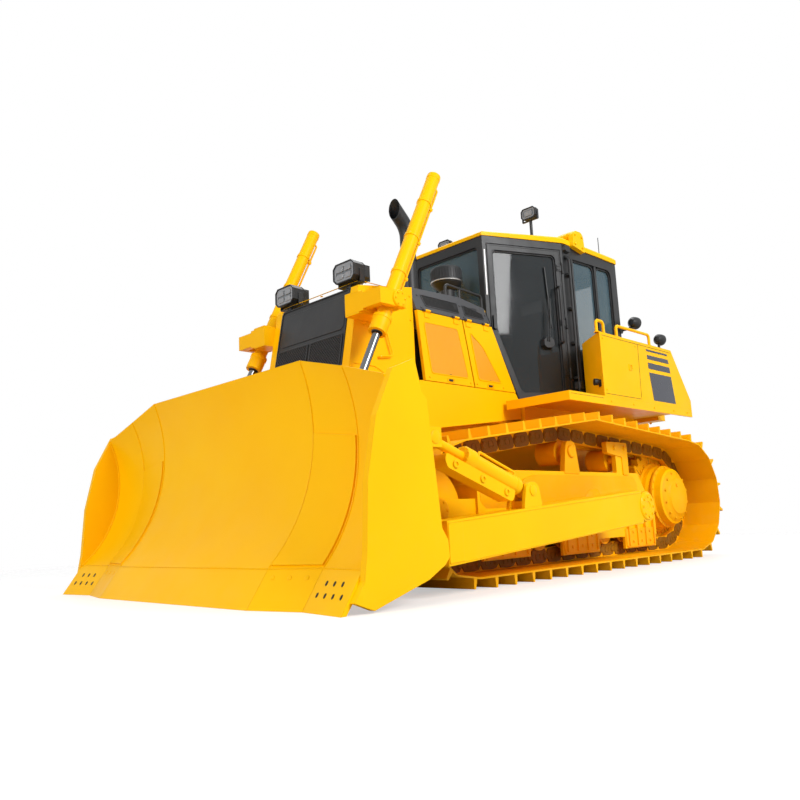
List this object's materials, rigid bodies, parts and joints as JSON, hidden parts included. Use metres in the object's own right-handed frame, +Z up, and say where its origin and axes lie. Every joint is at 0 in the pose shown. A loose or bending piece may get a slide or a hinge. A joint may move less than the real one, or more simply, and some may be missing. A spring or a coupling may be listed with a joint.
{
  "type": "bulldozer",
  "caption": "Crawler bulldozer with a straight tilting blade on outside push arms, two lift cylinders, gull-wing engine doors and a glazed cab.",
  "frame": {"origin": "bottom centre of the machine's box, on the ground under the grousers", "axes": "+X forward towards the blade, +Y to the machine's left, +Z up"},
  "size_m": [5.537, 3.524, 3.458],
  "materials": {
    "yellow_paint": "gloss yellow machine paint",
    "track_paint": "satin yellow paint on rolled steel, not yet worn",
    "black_paint": "satin black paint",
    "grey_paint": "dark grey textured paint",
    "engine_paint": "grey painted castings",
    "chrome_rod": "hard chrome",
    "tinted_glass": "grey tinted safety glass",
    "seat_cloth": "black woven seat cover"
  },
  "bodies": {
    "tractor": {"main_frame": "yellow_paint", "engine_block": "engine_paint", "radiator_guard": "yellow_paint", "grille_mask": "black_paint", "hood_top": "yellow_paint", "vent_strips": "grey_paint", "exhaust_stack": "black_paint", "precleaner": "black_paint", "cab_frame": "black_paint", "cab_roof": "yellow_paint", "cab_glass": "tinted_glass", "seat": "seat_cloth", "console": "grey_paint", "fender_left": "yellow_paint", "fender_right": "yellow_paint", "tool_box_left": "yellow_paint", "tool_box_right": "yellow_paint", "fuel_tank": "yellow_paint", "drawbar": "yellow_paint", "track_left": "track_paint", "track_right": "track_paint", "track_frame_left": "yellow_paint", "track_frame_right": "yellow_paint", "sprockets": "track_paint", "final_drives": "yellow_paint", "idlers": "track_paint", "track_rollers": "track_paint", "carrier_rollers": "track_paint", "lift_yokes": "yellow_paint", "work_lamps": "black_paint", "handrails": "yellow_paint"},
    "dozer": {"blade": "yellow_paint", "cutting_edges": "yellow_paint", "end_bits": "yellow_paint", "push_arm_left": "yellow_paint", "push_arm_right": "yellow_paint", "tilt_cylinder": "yellow_paint", "blade_brace": "yellow_paint"},
    "lift_barrel_left": {"lift_barrel_left": "yellow_paint"},
    "lift_rod_left": {"lift_rod_left": "chrome_rod"},
    "cab_door_left": {"cab_door_left": "black_paint", "door_glass_left": "tinted_glass"},
    "engine_door_front_left": {"engine_door_front_left": "yellow_paint"},
    "engine_door_rear_left": {"engine_door_rear_left": "yellow_paint"},
    "lift_barrel_right": {"lift_barrel_right": "yellow_paint"},
    "lift_rod_right": {"lift_rod_right": "chrome_rod"},
    "cab_door_right": {"cab_door_right": "black_paint", "door_glass_right": "tinted_glass"},
    "engine_door_front_right": {"engine_door_front_right": "yellow_paint"},
    "engine_door_rear_right": {"engine_door_rear_right": "yellow_paint"}
  },
  "joints": [
    {"name": "blade_lift", "type": "hinge", "parent": "tractor", "child": "dozer", "pos_m": [-0.4635, 0, 0.48], "axis": [0, -1, 0], "range_deg": [-9, 20]},
    {"name": "lift_pivot_left", "type": "hinge", "parent": "tractor", "child": "lift_barrel_left", "pos_m": [1.4025, 0.785, 2.045], "axis": [0, -1, 0], "range_deg": [-7, 14]},
    {"name": "lift_slide_left", "type": "slide", "parent": "lift_barrel_left", "child": "lift_rod_left", "axis": [0.4509, 0, -0.8926], "range_m": [-0.84, 0.39]},
    {"name": "cab_door_hinge_left", "type": "hinge", "parent": "tractor", "child": "cab_door_left", "pos_m": [-0.95536, 0.80292, 2.2], "axis": [0, 0, 1], "range_deg": [0, 80]},
    {"name": "engine_door_front_hinge_left", "type": "hinge", "parent": "tractor", "child": "engine_door_front_left", "pos_m": [0.5365, 0.572, 2.141], "axis": [1, 0, 0], "range_deg": [0, 80]},
    {"name": "engine_door_rear_hinge_left", "type": "hinge", "parent": "tractor", "child": "engine_door_rear_left", "pos_m": [0.0365, 0.572, 2.141], "axis": [1, 0, 0], "range_deg": [0, 80]},
    {"name": "lift_pivot_right", "type": "hinge", "parent": "tractor", "child": "lift_barrel_right", "pos_m": [1.4025, -0.785, 2.045], "axis": [0, -1, 0], "range_deg": [-7, 14]},
    {"name": "lift_slide_right", "type": "slide", "parent": "lift_barrel_right", "child": "lift_rod_right", "axis": [0.4509, 0, -0.8926], "range_m": [-0.84, 0.39]},
    {"name": "cab_door_hinge_right", "type": "hinge", "parent": "tractor", "child": "cab_door_right", "pos_m": [-0.95536, -0.80292, 2.2], "axis": [0, 0, -1], "range_deg": [0, 80]},
    {"name": "engine_door_front_hinge_right", "type": "hinge", "parent": "tractor", "child": "engine_door_front_right", "pos_m": [0.5365, -0.572, 2.141], "axis": [-1, 0, 0], "range_deg": [0, 80]},
    {"name": "engine_door_rear_hinge_right", "type": "hinge", "parent": "tractor", "child": "engine_door_rear_right", "pos_m": [0.0365, -0.572, 2.141], "axis": [-1, 0, 0], "range_deg": [0, 80]}
  ],
  "couplings": [
    {"joint": "lift_pivot_left", "follows": "blade_lift", "ratio": 0.58},
    {"joint": "lift_slide_left", "follows": "blade_lift", "m_per_rad": -2.38},
    {"joint": "lift_pivot_right", "follows": "blade_lift", "ratio": 0.58},
    {"joint": "lift_slide_right", "follows": "blade_lift", "m_per_rad": -2.38}
  ]
}
